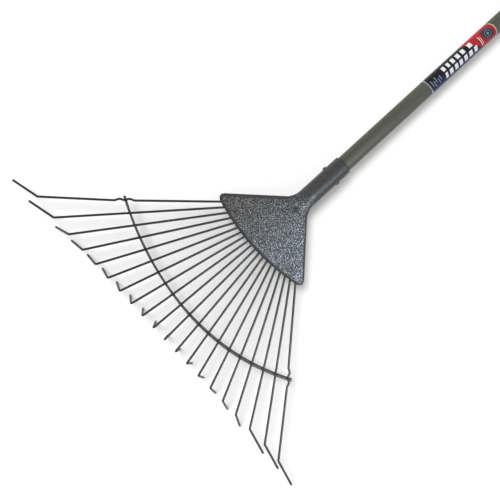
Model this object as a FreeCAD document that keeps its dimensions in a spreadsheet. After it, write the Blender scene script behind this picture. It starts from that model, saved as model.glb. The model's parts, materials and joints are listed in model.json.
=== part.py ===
import FreeCAD, Part
import math
import os

import Sketcher

from FreeCAD import Placement, Rotation, Vector

# Leaf rake: a fan of twenty spring wires held in a pressed steel head, on a long
# wooden handle.  The pieces are modelled in the tool's own frame, with +X along the
# handle towards the grip, +Z up and the origin at the centre of the socket's mouth.
# The finished tool is then laid down as it rests on the ground: on its middle hooks
# and on the grip end.

TINES = 20
# These teeth are splayed sideways, nearly flat, where the others hook down.
SPLAYED_TINES = (1, 2, 18, 19, 20)
# The outermost tines are crimped over the brace, and lean a little towards +Y past it.
CRIMPED_TINES = (1, 20)

SIZES = (
    ("handle_length", 1372.0),
    ("handle_dia", 25.4),
    ("grip_dia", 24.4),
    ("taper_length", 320.0),
    ("nose_length", 10.0),
    ("nose_dia", 18.0),
    ("handle_depth", 58.0),
    ("end_round", 9.0),
    ("label_start", 173.0),
    ("label_length", 139.0),
    ("label_thickness", 0.12),
    ("label_wrap", 300.0),
    ("socket_dia", 30.0),
    ("steel_thickness", 2.0),
    ("socket_seam", 0.8),
    ("neck_start", 62.0),
    ("neck_end", 97.0),
    ("neck_fillet", 32.0),
    ("side_start", 72.4),
    ("front_reach", 185.2),
    ("front_radius", 345.0),
    ("corner_radius", 8.0),
    ("rim_bend", 4.0),
    ("rim_drop", 3.9),
    ("plate_gap", 3.6),
    ("bottom_thickness", 1.5),
    ("bottom_start", 100.0),
    ("bottom_inset", 2.5),
    ("wire_dia", 3.5),
    ("apex_reach", 84.9),
    ("root_radius", 60.0),
    ("root_leg", 4.5),
    ("root_hole", 3.9),
    ("root_bend", 2.5),
    ("brace_reach", 321.6),
    ("brace_radius", 405.0),
    ("brace_pitch", 19.75),
    ("brace_overhang", 6.5),
    ("brace_top_set", 1.1),
    ("brace_top_bow", 1.0),
    ("brace_top_sway", 3.4),
    ("brace_bottom_set", 0.9),
    ("brace_bottom_bow", 1.4),
    ("brace_bottom_sway", 2.3),
    ("bend_reach", 291.0),
    ("bend_bow", 3.9),
    ("outer_lean", 2.0),
    ("hook_length", 47.0),
    ("hook_bend", 4.0),
    ("hook_back", 3.2),
    ("hook_rise", 0.3),
    ("hook_skew", 0.35),
    ("hook_spread", 0.5),
    ("hook_spread_step", 3.7),
    ("hook_spread_most", 25.0),
    ("splay_turn", 75.5),
    ("splay_dip", 14.0),
    ("crimp_height", 2.7),
    ("crimp_peak", 7.5),
    ("crimp_foot", 14.5),
    ("crimp_bend", 6.0),
    ("rivet_dia", 3.2),
    ("rivet_hole", 3.3),
    ("rivet_head", 6.2),
    ("rivet_head_taper", 0.7),
    ("rivet_tail", 1.2),
    ("rivet_tail_taper", 0.9),
    ("rivet_recess", 8.6),
    ("recess_depth", 0.9),
    ("head_sunk", 0.1),
    ("neck_rivet_reach", 99.0),
    ("front_rivet_reach", 170.5),
    ("side_rivet_radius", 102.0),
    ("pin_reach", 25.0),
    ("pin_dia", 5.0),
    ("pin_hole", 5.1),
    ("pin_head_dia", 6.5),
    ("pin_head", 1.8),
    ("pin_head_taper", 0.8),
)

CLEARANCE = 0.02
# Length of a tool that cuts right through the head or the handle.
THROUGH = 80.0
# The head's sides run at this angle to the handle.
SIDE_ANGLE = math.radians(45)
SIDE_NORMAL = Vector(1, 1, 0).normalize()
# Each brace wire sways off its arc: inwards on tine 1's side and outwards on tine 20's,
# most of all where a sine wave of this reach, in radians for half the fan, peaks.
SWAY_TURN = 2.5
BRACE_STEPS = 6
# Points along each half of the pressing's cross-section, and sections along its neck.
SECTION_STEPS = 32
NECK_SECTIONS = 12
DOWN = Vector(0, 0, -1)
ALONG_X = Rotation(Vector(0, 1, 0), 90)
ALONG_Y = Rotation(Vector(1, 0, 0), -90)


# ---------------------------------------------------------------- document

def new_sheet(doc):
    """Spreadsheet of the driving dimensions, in millimetres and degrees."""
    sheet = doc.addObject("Spreadsheet::Sheet", "Sizes")
    for row, (alias, number) in enumerate(SIZES, start=1):
        sheet.set("A%d" % row, alias)
        sheet.set("B%d" % row, str(number))
        sheet.setAlias("B%d" % row, alias)
    doc.recompute()
    return sheet


DOC = FreeCAD.newDocument("leaf_rake")
SHEET = new_sheet(DOC)


def size(alias):
    return float(SHEET.get(alias))


def bind(obj, **expressions):
    """Drive an object's properties from the sheet's cells."""
    for prop, expression in expressions.items():
        obj.setExpression(prop, expression)
    return obj


def solid(kind, name, place=None, **expressions):
    """A Part primitive whose sizes are bound to the sheet."""
    obj = DOC.addObject("Part::" + kind, name)
    if place:
        obj.Placement = place
    return bind(obj, **expressions)


def fused(name, *pieces):
    obj = DOC.addObject("Part::MultiFuse", name)
    obj.Shapes = list(pieces)
    obj.Refine = True
    return obj


def cut(name, base, tool):
    obj = DOC.addObject("Part::Cut", name)
    obj.Base = base
    obj.Tool = tool
    return obj


def along_x(reach):
    """Placement at a distance towards the teeth, with local Z along the handle."""
    return Placement(Vector(-reach, 0, 0), ALONG_X)


def across(reach, offset_y):
    """Placement with local Z along +Y."""
    return Placement(Vector(-reach, offset_y, 0), ALONG_Y)


def upright(x, y, z):
    return Placement(Vector(x, y, z), Rotation())


def new_body(label):
    return DOC.addObject("PartDesign::Body", label)


def origin_plane(body, role):
    return next(item for item in body.Origin.OriginFeatures if item.Role == role)


def new_sketch(body, name, plane="XY_Plane"):
    sketch = body.newObject("Sketcher::SketchObject", name)
    sketch.AttachmentSupport = [(origin_plane(body, plane), "")]
    sketch.MapMode = "FlatFace"
    return sketch


def pocket(body, sketch, name):
    """Cut a sketch right through its body, and make sure that it did cut."""
    before = body.Shape.Volume
    obj = body.newObject("PartDesign::Pocket", name)
    obj.Profile = sketch
    obj.Type = "ThroughAll"
    obj.Midplane = True
    DOC.recompute()
    if body.Shape.Volume > before - 1.0:
        raise RuntimeError(name + " removed nothing")
    return obj


# ---------------------------------------------------------------- fan layout

def side_step(number):
    """Steps from the tool's centre line: +9.5 for tine 1, -9.5 for tine 20."""
    return (TINES + 1) / 2 - number


def brace_point(step):
    """Where a tine crosses the brace: equal steps along the brace's arc."""
    radius = size("brace_radius")
    angle = step * size("brace_pitch") / radius
    x = radius - size("brace_reach") - radius * math.cos(angle)
    return Vector(x, radius * math.sin(angle), 0)


def tine_direction(step):
    """All tines point away from one apex inside the head."""
    direction = brace_point(step) + Vector(size("apex_reach"), 0, 0)
    return direction.normalize()


def on_tine(step, radius):
    """A point on a tine's line, at a distance from the apex."""
    return Vector(-size("apex_reach"), 0, 0) + tine_direction(step) * radius


def bend_point(number):
    """The corner between a tine's straight run and its tooth."""
    step = side_step(number)
    share = (2 * step / (TINES - 1)) ** 2
    reach = size("bend_reach") - size("bend_bow") * share
    corner = on_tine(step, reach / -tine_direction(step).x)
    if number not in CRIMPED_TINES:
        return corner
    foot = brace_point(step) + tine_direction(step) * size("crimp_foot")
    lean = Rotation(Vector(0, 0, 1), -size("outer_lean"))
    return foot + lean.multVec(corner - foot)


def hook_vector(number):
    """From the corner to the tip of the tooth."""
    step = side_step(number)
    side = math.copysign(1, step)
    length = size("hook_length")
    if number in SPLAYED_TINES:
        turn = math.radians(size("splay_turn"))
        dip = math.radians(size("splay_dip"))
        level = length * math.cos(dip)
        return Vector(-level * math.cos(turn), side * level * math.sin(turn), -length * math.sin(dip))
    forward = size("hook_rise") * step ** 2 - size("hook_skew") * step - size("hook_back")
    outward = size("hook_spread") + size("hook_spread_step") * abs(step)
    outward = min(outward, size("hook_spread_most"))
    drop = math.sqrt(length ** 2 - forward ** 2 - outward ** 2)
    return Vector(-forward, side * outward, -drop)


# ---------------------------------------------------------------- bent wires

def spline(points):
    curve = Part.BSplineCurve()
    curve.interpolate(points)
    return curve.toShape()


def bent_path(points, radii):
    """Straight runs joined by tangent arcs, one radius for each inner point."""
    edges = []
    start = points[0]
    for index, radius in enumerate(radii, start=1):
        corner = points[index]
        back = (points[index - 1] - corner).normalize()
        ahead = (points[index + 1] - corner).normalize()
        half_angle = back.getAngle(ahead) / 2
        tangent = radius / math.tan(half_angle)
        enter = corner + back * tangent
        leave = corner + ahead * tangent
        bisector = (back + ahead).normalize()
        middle = corner + bisector * (radius / math.sin(half_angle) - radius)
        edges.append(Part.LineSegment(start, enter).toShape())
        edges.append(Part.Arc(enter, middle, leave).toShape())
        start = leave
    edges.append(Part.LineSegment(start, points[-1]).toShape())
    return Part.Wire(edges)


def wire_rod(points, radii):
    """Round wire swept along a bent path, checked against section times length."""
    path = bent_path(points, radii)
    radius = size("wire_dia") / 2
    circle = Part.Circle(points[0], points[1] - points[0], radius).toShape()
    rod = path.makePipeShell([Part.Wire(circle)], True, False)
    expected = math.pi * radius ** 2 * path.Length
    if abs(rod.Volume / expected - 1) > 0.01:
        raise RuntimeError("a wire's volume is wrong")
    return rod


def crimp_points(number):
    """Two outward bumps, with the brace seated in the dip between them."""
    if number not in CRIMPED_TINES:
        return []
    step = side_step(number)
    direction = tine_direction(step)
    outward = Vector(0, 0, 1).cross(direction) * -math.copysign(size("crimp_height"), step)
    seat = brace_point(step)
    foot = direction * size("crimp_foot")
    peak = direction * size("crimp_peak")
    return [seat - foot, seat - peak + outward, seat, seat + peak + outward, seat + foot]


def make_tine(number):
    """Root leg through the bottom plate, straight run, then the bent tooth."""
    step = side_step(number)
    root = on_tine(step, size("root_radius"))
    corner = bend_point(number)
    crimp = crimp_points(number)
    points = [root + DOWN * size("root_leg"), root] + crimp + [corner, corner + hook_vector(number)]
    radii = [size("root_bend")] + [size("crimp_bend")] * len(crimp) + [size("hook_bend")]
    tine = DOC.addObject("Part::Feature", "tine_%02d" % number)
    tine.Shape = wire_rod(points, radii)
    return tine


def brace_offset(label, share):
    """How far a brace wire lies outside its arc; share runs from -1 to 1 over the fan."""
    sway = size(label + "_sway") * math.sin(SWAY_TURN * share)
    return size(label + "_set") - size(label + "_bow") * share ** 2 - sway


def make_brace(label, height):
    """Bent wire across the fan, welded to every tine."""
    radius = size("brace_radius")
    half_sweep = (TINES - 1) / 2 * size("brace_pitch") / radius
    end = 1 + size("brace_overhang") / radius / half_sweep
    points = []
    for index in range(-BRACE_STEPS, BRACE_STEPS + 1):
        share = end * index / BRACE_STEPS
        angle = half_sweep * share
        reach = radius + brace_offset(label, share)
        x = radius - size("brace_reach") - reach * math.cos(angle)
        points.append(Vector(x, reach * math.sin(angle), height))
    path = Part.Wire(spline(points))
    wire_radius = size("wire_dia") / 2
    circle = Part.Circle(points[0], path.Edges[0].tangentAt(path.Edges[0].FirstParameter), wire_radius)
    brace = DOC.addObject("Part::Feature", label)
    brace.Shape = path.makePipeShell([Part.Wire(circle.toShape())], True, False)
    expected = math.pi * wire_radius ** 2 * path.Length
    if abs(brace.Shape.Volume / expected - 1) > 0.01:
        raise RuntimeError(label + "'s volume is wrong")
    return brace


# ---------------------------------------------------------------- head

def blend(reach):
    """0 in the round socket, 1 in the flat plate, smooth between them."""
    share = (reach - size("neck_start")) / (size("neck_end") - size("neck_start"))
    share = min(max(share, 0.0), 1.0)
    return share * share * (3 - 2 * share)


def half_width(reach):
    """Half the pressing's width: the socket, a fillet, then sides at 45 degrees."""
    tube = size("socket_dia") / 2
    fillet = size("neck_fillet")
    corner = size("side_start") + tube
    first = corner - fillet * math.tan(SIDE_ANGLE / 2)
    last = first + fillet * math.sin(SIDE_ANGLE)
    if reach <= first:
        return tube
    if reach < last:
        return tube + fillet - math.sqrt(fillet ** 2 - (reach - first) ** 2)
    return reach - size("side_start")


def tube_point(share, radius):
    """Point round the rolled socket; share runs from -1 to 1, seam to seam."""
    seam = math.asin(size("socket_seam") / size("socket_dia"))
    angle = share * (math.pi - seam)
    return radius * math.sin(angle), radius * math.cos(angle)


def plate_point(share, width, top, bend):
    """Point round the flat plate: level top, rounded shoulder, rim turned down."""
    flat_share = 0.6
    bend_share = 0.85
    side = math.copysign(1, share)
    share = abs(share)
    if share <= flat_share:
        return side * (width - bend) * share / flat_share, top
    if share <= bend_share:
        angle = math.pi / 2 * (share - flat_share) / (bend_share - flat_share)
        return side * (width - bend + bend * math.sin(angle)), top - bend + bend * math.cos(angle)
    leg = (share - bend_share) / (1 - bend_share)
    return side * width, top - bend - leg * (top - bend + size("rim_drop"))


def pressing_curve(reach):
    """Outer line of the pressing's cross-section, from seam edge to seam edge."""
    mix = blend(reach)
    width = half_width(reach)
    top = size("plate_gap") / 2 + size("steel_thickness")
    outline = []
    for index in range(-SECTION_STEPS, SECTION_STEPS + 1):
        share = index / SECTION_STEPS
        tube_y, tube_z = tube_point(share, size("socket_dia") / 2)
        flat_y, flat_z = plate_point(share, width, top, size("rim_bend"))
        outline.append(((1 - mix) * tube_y + mix * flat_y, (1 - mix) * tube_z + mix * flat_z))
    stretch = width / max(y for y, z in outline)
    return [Vector(-reach, y * stretch, z) for y, z in outline]


def inner_curve(outer):
    """The same line moved in by the sheet's thickness, square to it."""
    inner = []
    for index, point in enumerate(outer):
        before = outer[max(index - 1, 0)]
        after = outer[min(index + 1, len(outer) - 1)]
        inward = (after - before).cross(Vector(1, 0, 0)).normalize()
        inner.append(point + inward * size("steel_thickness"))
    return inner


def pressing_section(reach):
    """Closed cross-section of the sheet at one place along the tool."""
    outer = pressing_curve(reach)
    inner = inner_curve(outer)
    edges = [
        spline(outer),
        Part.LineSegment(outer[-1], inner[-1]).toShape(),
        spline(inner[::-1]),
        Part.LineSegment(inner[0], outer[0]).toShape(),
    ]
    return Part.Wire(edges)


def front_arc(inset=0.0):
    """Centre and radius of the head's front edge."""
    radius = size("front_radius") - inset
    return Vector(size("front_radius") - size("front_reach"), 0, 0), radius


def side_meets_front(shift, inset):
    """Where a side line y = -x - shift meets the front arc moved in by an inset."""
    centre, radius = front_arc(inset)
    reach = (shift - centre.x + math.sqrt(2 * radius ** 2 - (centre.x + shift) ** 2)) / 2
    return Vector(-reach, reach - shift, 0)


def corner_centre():
    """Centre of the rounded corner on the +Y side, a touch inside the side's line."""
    bite = 0.2
    radius = size("corner_radius")
    return side_meets_front(size("side_start") + (radius + bite) * math.sqrt(2), radius)


def trim_outline():
    """Plan shape that trims the pressing's front edge and corners."""
    margin = 40.0
    centre = front_arc()[0]
    nose = Vector(-size("front_reach"), 0, 0)
    corner = corner_centre()
    outward = (corner - centre).normalize()
    touch = corner + outward * size("corner_radius")
    side = corner + SIDE_NORMAL * size("corner_radius")
    middle = corner + (outward + SIDE_NORMAL).normalize() * size("corner_radius")
    far = side + SIDE_NORMAL * margin
    back = Vector(margin, far.y, 0)
    mirrored = [Vector(point.x, -point.y, 0) for point in (touch, middle, side, far, back)]
    edges = [
        Part.Arc(mirrored[0], nose, touch).toShape(),
        Part.Arc(touch, middle, side).toShape(),
        Part.LineSegment(side, far).toShape(),
        Part.LineSegment(far, back).toShape(),
        Part.LineSegment(back, mirrored[4]).toShape(),
        Part.LineSegment(mirrored[4], mirrored[3]).toShape(),
        Part.LineSegment(mirrored[3], mirrored[2]).toShape(),
        Part.Arc(mirrored[2], mirrored[1], mirrored[0]).toShape(),
    ]
    return Part.Wire(edges)


def rivet_places():
    """Plan positions of the head's four rivets; the side ones sit between two tines."""
    side = tine_direction(8.5) + tine_direction(7.5)
    side = side.normalize() * size("side_rivet_radius") - Vector(size("apex_reach"), 0, 0)
    return {
        "neck_rivet": Vector(-size("neck_rivet_reach"), 0, 0),
        "front_rivet": Vector(-size("front_rivet_reach"), 0, 0),
        "left_rivet": side,
        "right_rivet": Vector(side.x, -side.y, 0),
    }


def pin_hole(name):
    """Tool that drills the cross pin's hole."""
    place = across(size("pin_reach"), -THROUGH / 2)
    hole = solid("Cylinder", name, place, Radius="Sizes.pin_hole / 2")
    hole.Height = THROUGH
    return hole


def make_top_plate():
    """One sheet of steel: rolled into the socket, flattened and trimmed to a plate."""
    overshoot = 10.0
    neck = size("neck_start")
    spacing = (size("neck_end") - neck) / NECK_SECTIONS
    stations = [0.0]
    stations += [neck + spacing * step for step in range(NECK_SECTIONS + 1)]
    stations += [size("front_reach") + overshoot]
    pressing = Part.makeLoft([pressing_section(reach) for reach in stations], True, True)
    trim = Part.Face(trim_outline()).extrude(Vector(0, 0, THROUGH))
    trim.translate(DOWN * (THROUGH / 2))
    top = size("plate_gap") / 2 + size("steel_thickness")
    holes = [pin_hole("socket_pin_hole")]
    for name, place in rivet_places().items():
        hole = solid("Cylinder", name + "_hole", upright(place.x, place.y, 0), Radius="Sizes.rivet_hole / 2")
        recess = solid(
            "Cylinder",
            name + "_recess",
            upright(place.x, place.y, top - size("recess_depth")),
            Radius="Sizes.rivet_recess / 2",
        )
        holes += [hole, recess]
    DOC.recompute()
    plate = DOC.addObject("Part::Feature", "head_top_plate")
    plate.Shape = pressing.common(trim).cut([hole.Shape for hole in holes]).Solids[0]
    return plate


def bottom_outline(sketch):
    """Plan of the bottom plate: straight back, 45 degree sides and the front arc."""
    inset = size("bottom_inset")
    start = size("bottom_start")
    shift = size("side_start") + inset * math.sqrt(2)
    back = Vector(-start, start - shift, 0)
    front = side_meets_front(shift, inset)
    nose = Vector(inset - size("front_reach"), 0, 0)
    sketch.addGeometry(Part.LineSegment(Vector(back.x, -back.y, 0), back), False)
    sketch.addGeometry(Part.LineSegment(back, front), False)
    sketch.addGeometry(Part.Arc(front, nose, Vector(front.x, -front.y, 0)), False)
    sketch.addGeometry(Part.LineSegment(Vector(front.x, -front.y, 0), Vector(back.x, -back.y, 0)), False)


def add_hole(sketch, centre, alias):
    """A round hole in a sketch, with its diameter bound to the sheet."""
    diameter = size(alias)
    index = sketch.addGeometry(Part.Circle(centre, Vector(0, 0, 1), diameter / 2), False)
    constraint = sketch.addConstraint(Sketcher.Constraint("Diameter", index, diameter))
    sketch.setExpression("Constraints[%d]" % constraint, "Sizes." + alias)


def make_bottom_plate():
    """Flat plate that closes the head and anchors the tines' root legs."""
    body = new_body("head_bottom_plate")
    outline = new_sketch(body, "bottom_outline")
    bottom_outline(outline)
    pad = body.newObject("PartDesign::Pad", "bottom_pad")
    pad.Profile = outline
    bind(pad, Length="Sizes.bottom_thickness")
    DOC.recompute()
    corners = []
    for index, edge in enumerate(pad.Shape.Edges, start=1):
        upright_edge = abs(edge.tangentAt(edge.FirstParameter).z) > 0.99
        if upright_edge and edge.CenterOfMass.x < -size("bottom_start") - 1:
            corners.append("Edge%d" % index)
    fillet = body.newObject("PartDesign::Fillet", "bottom_corners")
    fillet.Base = (pad, corners)
    bind(fillet, Radius="Sizes.corner_radius - Sizes.bottom_inset")
    DOC.recompute()
    roots = new_sketch(body, "root_holes")
    for number in range(1, TINES + 1):
        add_hole(roots, on_tine(side_step(number), size("root_radius")), "root_hole")
    pocket(body, roots, "root_pocket")
    rivets = new_sketch(body, "rivet_holes")
    for place in rivet_places().values():
        add_hole(rivets, place, "rivet_hole")
    pocket(body, rivets, "rivet_pocket")
    body.Placement = upright(0, 0, -size("plate_gap") / 2 - size("bottom_thickness"))
    return body


def make_head_rivets():
    """Rivets through both plates, their upper heads sunk in shallow recesses."""
    top = size("plate_gap") / 2 + size("steel_thickness")
    recess = top - size("recess_depth")
    under = -size("plate_gap") / 2 - size("bottom_thickness") - CLEARANCE
    rivets = []
    for name, place in rivet_places().items():
        foot = upright(place.x, place.y, under)
        shank = solid("Cylinder", name + "_shank", foot, Radius="Sizes.rivet_dia / 2")
        shank.Height = recess - under + CLEARANCE
        head = solid(
            "Cone",
            name + "_head",
            upright(place.x, place.y, recess + CLEARANCE),
            Radius1="Sizes.rivet_head / 2",
            Radius2="Sizes.rivet_head / 2 - Sizes.rivet_head_taper",
            Height="Sizes.recess_depth - Sizes.head_sunk",
        )
        tail = solid(
            "Cone",
            name + "_tail",
            upright(place.x, place.y, under - size("rivet_tail")),
            Radius1="Sizes.rivet_head / 2 - Sizes.rivet_tail_taper",
            Radius2="Sizes.rivet_head / 2",
            Height="Sizes.rivet_tail",
        )
        rivets.append(fused(name, shank, head, tail))
    return rivets


def make_socket_rivet():
    """Cross pin through socket and handle, with a low head at each side."""
    face = size("socket_dia") / 2 + CLEARANCE
    pin = solid("Cylinder", "pin_shank", across(size("pin_reach"), -face), Radius="Sizes.pin_dia / 2")
    pin.Height = 2 * face
    heads = []
    for side in (-1, 1):
        turn = ALONG_Y if side > 0 else Rotation(Vector(1, 0, 0), 90)
        head = solid(
            "Cone",
            "pin_head_%s" % ("left" if side > 0 else "right"),
            Placement(Vector(-size("pin_reach"), side * face, 0), turn),
            Radius1="Sizes.pin_head_dia / 2",
            Radius2="Sizes.pin_head_dia / 2 - Sizes.pin_head_taper",
            Height="Sizes.pin_head",
        )
        heads.append(head)
    return fused("socket_rivet", pin, *heads)


# ---------------------------------------------------------------- handle

def handle_radius(distance):
    """Radius at a distance up the handle from the socket's mouth, on the taper."""
    share = min(max(distance / size("taper_length"), 0.0), 1.0)
    return (size("handle_dia") + (size("grip_dia") - size("handle_dia")) * share) / 2


def make_handle():
    """Turned shaft: short nose, seat in the socket, long taper and rounded grip end."""
    depth = size("handle_depth")
    nose = solid(
        "Cone",
        "handle_nose",
        along_x(depth),
        Radius1="Sizes.nose_dia / 2",
        Radius2="Sizes.handle_dia / 2",
        Height="Sizes.nose_length",
    )
    seat = solid(
        "Cylinder",
        "handle_seat",
        along_x(depth - size("nose_length")),
        Radius="Sizes.handle_dia / 2",
        Height="Sizes.handle_depth - Sizes.nose_length",
    )
    taper = solid(
        "Cone",
        "handle_taper",
        along_x(0),
        Radius1="Sizes.handle_dia / 2",
        Radius2="Sizes.grip_dia / 2",
        Height="Sizes.taper_length",
    )
    shaft = solid(
        "Cylinder",
        "handle_straight",
        along_x(-size("taper_length")),
        Radius="Sizes.grip_dia / 2",
        Height="Sizes.handle_length - Sizes.handle_depth - Sizes.taper_length",
    )
    rounded = DOC.addObject("Part::Fillet", "handle_rounded")
    rounded.Base = shaft
    DOC.recompute()
    grip_end = size("handle_length") - depth
    for index, edge in enumerate(shaft.Shape.Edges, start=1):
        if abs(edge.CenterOfMass.x - grip_end) < 0.01 and isinstance(edge.Curve, Part.Circle):
            rounded.Edges = [(index, size("end_round"), size("end_round"))]
    turned = fused("handle_turned", nose, seat, taper, rounded)
    return cut("handle_shaft", turned, pin_hole("handle_pin_hole"))


def make_label():
    """Printed sleeve round the handle, open in a narrow strip underneath."""
    start = size("label_start")
    end = start + size("label_length")
    turn = Rotation(Vector(1, 0, 0), 90 + size("label_wrap") / 2)
    skin = []
    for name, offset in (("label_outside", size("label_thickness")), ("label_inside", 0.0)):
        cone = solid("Cone", name, Height="Sizes.label_length")
        cone.Radius1 = handle_radius(start) + CLEARANCE + offset
        cone.Radius2 = handle_radius(end) + CLEARANCE + offset
        cone.Placement = Placement(Vector(start, 0, 0), turn.multiply(ALONG_X))
        skin.append(cone)
    bind(skin[0], Angle="Sizes.label_wrap")
    return cut("handle_label", *skin)


# ---------------------------------------------------------------- assembly

def lay_down(pieces):
    """Rest the tool on its middle hooks and its grip end, over the row's origin."""
    middle = TINES // 2
    tip = bend_point(middle) + hook_vector(middle)
    grip_end = size("handle_length") - size("handle_depth") - size("end_round")
    rise = -tip.z - size("grip_dia") / 2
    tilt = math.degrees(math.atan2(rise, grip_end - tip.x))
    turned = Placement(Vector(), Rotation(Vector(0, 1, 0), tilt))
    box = FreeCAD.BoundBox()
    for piece in pieces:
        piece.Placement = turned.multiply(piece.Placement)
    DOC.recompute()
    for piece in pieces:
        box.add(piece.Shape.optimalBoundingBox(False))
    shift = Placement(Vector(-box.Center.x, -box.Center.y, -box.ZMin), Rotation())
    for piece in pieces:
        piece.Placement = shift.multiply(piece.Placement)
    DOC.recompute()
    return shift.multiply(turned)


def check(pieces):
    """Stop if any object failed or any sub-part isn't one sound solid."""
    for obj in DOC.Objects:
        if "Invalid" in obj.State or "Error" in obj.State:
            raise RuntimeError(obj.Name + " failed: " + str(obj.State))
    for piece in pieces:
        shape = piece.Shape
        if shape.isNull() or not shape.isValid() or len(shape.Solids) != 1:
            raise RuntimeError(piece.Label + " is not one valid solid")


def build():
    pieces = [make_tine(number) for number in range(1, TINES + 1)]
    level = size("wire_dia") + CLEARANCE
    pieces.append(make_brace("brace_top", level))
    pieces.append(make_brace("brace_bottom", -level))
    pieces.append(make_top_plate())
    pieces.append(make_bottom_plate())
    pieces += make_head_rivets()
    pieces.append(make_socket_rivet())
    pieces.append(make_handle())
    pieces.append(make_label())
    DOC.recompute()
    rest = lay_down(pieces)
    check(pieces)
    os.makedirs("parts", exist_ok=True)
    for piece in pieces:
        piece.Shape.exportStep("parts/%s.step" % piece.Label)
    print("sub-parts:", len(pieces))
    print("socket mouth in the row frame:", rest.Base)
    print("tilt in degrees:", math.degrees(rest.Rotation.Angle))


build()
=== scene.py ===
"""Looks of the leaf rake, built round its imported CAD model.

Shapes are worked out in the tool's own frame, in millimetres: +X up the handle from the centre
of the socket's mouth, +Y to tine 1's side, +Z up from the face that carries the print. REST
carries that frame to the row frame, where the rake lies on its hooks and its grip end.
"""

import json
import math

import bpy
import numpy as np
from mathutils import Matrix, Vector


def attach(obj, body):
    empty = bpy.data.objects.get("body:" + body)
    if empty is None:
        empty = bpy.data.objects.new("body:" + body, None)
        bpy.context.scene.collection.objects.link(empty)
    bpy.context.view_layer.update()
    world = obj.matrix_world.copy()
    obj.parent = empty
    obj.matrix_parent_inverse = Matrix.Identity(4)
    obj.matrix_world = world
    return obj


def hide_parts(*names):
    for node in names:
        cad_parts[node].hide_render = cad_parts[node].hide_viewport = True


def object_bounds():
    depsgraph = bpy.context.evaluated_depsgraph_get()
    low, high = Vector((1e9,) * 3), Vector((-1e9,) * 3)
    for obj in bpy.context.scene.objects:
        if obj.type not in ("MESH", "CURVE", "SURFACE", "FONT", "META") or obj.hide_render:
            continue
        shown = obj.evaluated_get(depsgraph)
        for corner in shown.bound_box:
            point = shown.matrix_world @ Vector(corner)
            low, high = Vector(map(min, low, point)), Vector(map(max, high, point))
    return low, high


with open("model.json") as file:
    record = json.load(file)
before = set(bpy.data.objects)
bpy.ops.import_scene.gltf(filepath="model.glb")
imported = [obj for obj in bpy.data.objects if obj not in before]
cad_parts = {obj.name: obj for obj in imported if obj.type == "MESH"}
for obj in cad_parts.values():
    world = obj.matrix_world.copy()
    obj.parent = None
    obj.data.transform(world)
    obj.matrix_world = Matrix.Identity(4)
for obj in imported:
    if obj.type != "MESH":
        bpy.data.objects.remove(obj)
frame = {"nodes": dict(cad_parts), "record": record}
cad_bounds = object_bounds()

MM = 0.001

# The handle's stated mount is the straight stretch of the shaft; its middle is this far from
# the socket's mouth.
MOUNT_FROM_MOUTH = 812.5

HANDLE_RADIUS = 12.7
GRIP_RADIUS = 12.2
TAPER_LENGTH = 320.0

# The pressing: a rolled socket, a neck that opens out, and a plate with its rims turned down.
# Reaches are measured from the socket's mouth towards the teeth.
SOCKET_RADIUS = 15.0
STEEL = 2.0
SEAM = 0.8
NECK_START = 62.0
NECK_END = 97.0
NECK_FILLET = 32.0
SIDE_START = 72.4
FILLET_START = SIDE_START + SOCKET_RADIUS - NECK_FILLET * math.tan(math.radians(22.5))
FRONT_REACH = 185.2
FRONT_RADIUS = 345.0
CORNER_RADIUS = 8.0
PLATE_TOP = 3.8
SHOULDER = 4.0
RIM_DROP = 3.9
RIM_BULGE = 0.5
RIM_LEG = PLATE_TOP - SHOULDER + RIM_DROP - RIM_BULGE
LIP_LEG = 1.1

# The low swell behind the neck: its height, its rise from the neck's start, and its fall.
SWELL_HEIGHT = 1.0
SWELL_RISE = 45.0
SWELL_TOP = 100.0
SWELL_FALL = 65.0
SWELL_WIDTH = 16.0

# Shares of half a section: up to the first it lies flat, up to the second it is shoulder.
FLAT_SHARE = 0.6
SHOULDER_SHARE = 0.85

# The sheet's inner face stays above the tines. In the rims, away from the front edge, it may
# lie this much lower.
UNDERSIDE = 1.8
SIDE_CLEARANCE = 8.0

DECK_COLUMNS = 221
NECK_ROWS = 80
PLATE_ROWS = 100
ARC_STEPS = 8
LEG_STEPS = 6
CORNER_SHARE = 0.8
FRONT_EASE = 1.5

# The tines' lines meet at APEX, and cross the brace at equal steps along its arc.
APEX = np.array([-84.9, 0.0, 0.0])
BRACE_REACH = 321.6
BRACE_RADIUS = 405.0
BRACE_PITCH = 19.75
# Painted shade on the brace where the tines cross it: its reach along the brace, and its grey.
CROSSING_SHADE_REACH = 2.0
CROSSING_SHADE_GREY = (0.008, 0.0085, 0.009)

NECK_RIVET_REACH = 99.0
FRONT_RIVET_REACH = 170.5
SIDE_RIVET_RADIUS = 102.0
RIVET_HEAD = 3.1
RIVET_SHANK = 1.6
RIVET_DOME = 0.95
RIVET_TAIL = 1.2
RIVET_SINK = 0.15
RIVET_LIP = 0.1
BOTTOM_FACE = 3.32
DIMPLE_RADIUS = 4.6
DIMPLE_FLOOR = 3.2
DIMPLE_DEPTH = 0.9

# Hammertone: pebbles per metre, and where the paint lies smooth instead, partly as painted shade.
PEBBLES = 680.0
SMOOTH_RINGS = 2
# Smooth, darker paint in bands along the front and tine 1's side and round the recess walls; on tine
# 1's side and the walls it is painted shade.
SMOOTH_AND_SHADE_BAND = 1.3
SMOOTH_SHADE_WALL = 1.2
SOCKET_SMOOTH = 0.82

LABEL_START = 173.0
LABEL_SHOULDER = 297.0
LABEL_END = 309.5
LABEL_ROUND = 20.0
LABEL_HALF = math.radians(150) * HANDLE_RADIUS
RED_START = 266
RED_SLANT = 20
EDGE_LINE = 1.2
EDGE_GAP = 0.1
FOOT_LINE = 2.0
FOOT_GAP = 0.3

# The sleeve's layers: where each starts and ends over the handle's surface.
FILM = (0.01, 0.12)
ZONE = (0.06, 0.15)
BAR = (0.06, 0.16)
MARK = (0.06, 0.17)
TOP_MARK = (0.06, 0.19)

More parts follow.
